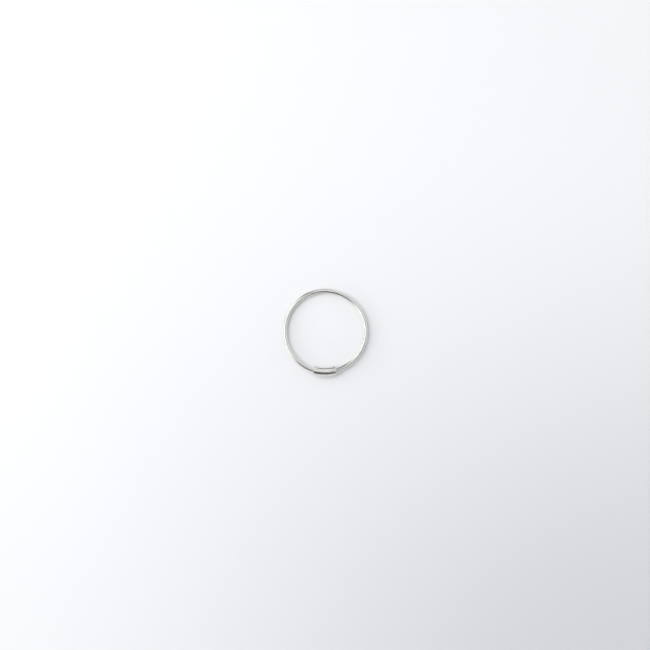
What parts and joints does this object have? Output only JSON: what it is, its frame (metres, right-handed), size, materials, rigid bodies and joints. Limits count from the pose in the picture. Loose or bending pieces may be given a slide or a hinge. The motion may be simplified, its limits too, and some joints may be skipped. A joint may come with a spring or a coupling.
{
  "type": "key ring",
  "caption": "Round spring wire hoop closed by a short curved tube sleeve, which slides round the wire to uncover the split so that keys can be threaded on.",
  "frame": {"origin": "centre of the hoop, on its axis and half way through its thickness; the bounding box's centre lies 0.34 mm from it, towards the sleeve", "axes": "+Z along the hoop's axis, so the ring lies flat; the sleeve and the split that it covers are at -Y"},
  "size_m": [0.025, 0.0257, 0.0028],
  "materials": {
    "hoop_wire": "bright drawn and polished wire",
    "sleeve_tube": "polished tube with a soft turned grain"
  },
  "bodies": {
    "hoop": {"wire_hoop": "hoop_wire"},
    "sleeve": {"slide_sleeve": "sleeve_tube"}
  },
  "joints": [
    {"name": "sleeve_slide", "type": "hinge", "parent": "hoop", "child": "sleeve", "pos_m": [0, 0, 0], "axis": [0, 0, 1], "continuous": true}
  ]
}
